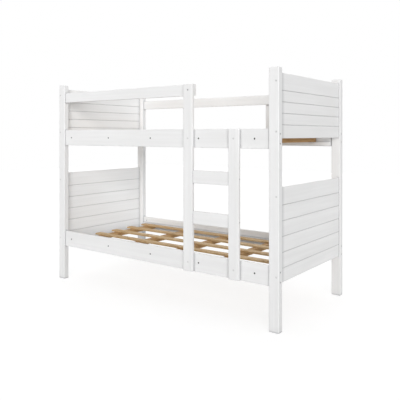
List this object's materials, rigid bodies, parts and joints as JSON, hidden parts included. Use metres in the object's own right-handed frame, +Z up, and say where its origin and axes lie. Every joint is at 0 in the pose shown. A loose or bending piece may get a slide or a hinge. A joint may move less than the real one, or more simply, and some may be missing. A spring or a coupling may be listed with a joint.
{
  "type": "bunk bed",
  "caption": "Bunk bed in white-lacquered wood with grooved board ends, a fixed ladder, guard rails and slatted bases.",
  "frame": {"origin": "on the floor, under the middle of the bed", "axes": "+X along the bed towards the ladder end, -Y towards the ladder side, +Z up"},
  "size_m": [1.97, 0.997, 1.55],
  "materials": {
    "painted_frame": "white satin lacquer over pine",
    "painted_panel": "white satin lacquer over board",
    "bare_slats": "planed, unfinished",
    "zinc_fixings": "zinc plated",
    "beech_dowels": "fluted beech, unfinished"
  },
  "bodies": {
    "root": {"barrel_nuts": "zinc_fixings", "bearers_lower": "bare_slats", "bearers_upper": "bare_slats", "board_lower_left_1": "painted_panel", "board_lower_left_2": "painted_panel", "board_lower_left_3": "painted_panel", "board_lower_left_4": "painted_panel", "board_lower_left_5": "painted_panel", "board_lower_left_6": "painted_panel", "board_lower_right_1": "painted_panel", "board_lower_right_2": "painted_panel", "board_lower_right_3": "painted_panel", "board_lower_right_4": "painted_panel", "board_lower_right_5": "painted_panel", "board_lower_right_6": "painted_panel", "board_upper_left_1": "painted_panel", "board_upper_left_2": "painted_panel", "board_upper_left_3": "painted_panel", "board_upper_left_4": "painted_panel", "board_upper_left_5": "painted_panel", "board_upper_right_1": "painted_panel", "board_upper_right_2": "painted_panel", "board_upper_right_3": "painted_panel", "board_upper_right_4": "painted_panel", "board_upper_right_5": "painted_panel", "dowels": "beech_dowels", "frame_screws": "zinc_fixings", "guard_front": "painted_frame", "guard_rear": "painted_frame", "guard_supports": "painted_frame", "ladder_rung_lower": "painted_frame", "ladder_rung_upper": "painted_frame", "ladder_stile_left": "painted_frame", "ladder_stile_right": "painted_frame", "ledge_lower_front": "painted_frame", "ledge_lower_rear": "painted_frame", "ledge_screws": "zinc_fixings", "ledge_upper_front": "painted_frame", "ledge_upper_rear": "painted_frame", "panel_bolts": "zinc_fixings", "post_front_left": "painted_frame", "post_front_right": "painted_frame", "post_rear_left": "painted_frame", "post_rear_right": "painted_frame", "rail_bolts": "zinc_fixings", "rail_lower_front": "painted_frame", "rail_lower_rear": "painted_frame", "rail_upper_front": "painted_frame", "rail_upper_rear": "painted_frame", "rung_screws": "zinc_fixings", "slat_lower_1": "bare_slats", "slat_lower_2": "bare_slats", "slat_lower_3": "bare_slats", "slat_lower_4": "bare_slats", "slat_lower_5": "bare_slats", "slat_upper_1": "bare_slats", "slat_upper_2": "bare_slats", "slat_upper_3": "bare_slats", "slat_upper_4": "bare_slats", "slat_upper_5": "bare_slats"}
  },
  "joints": []
}
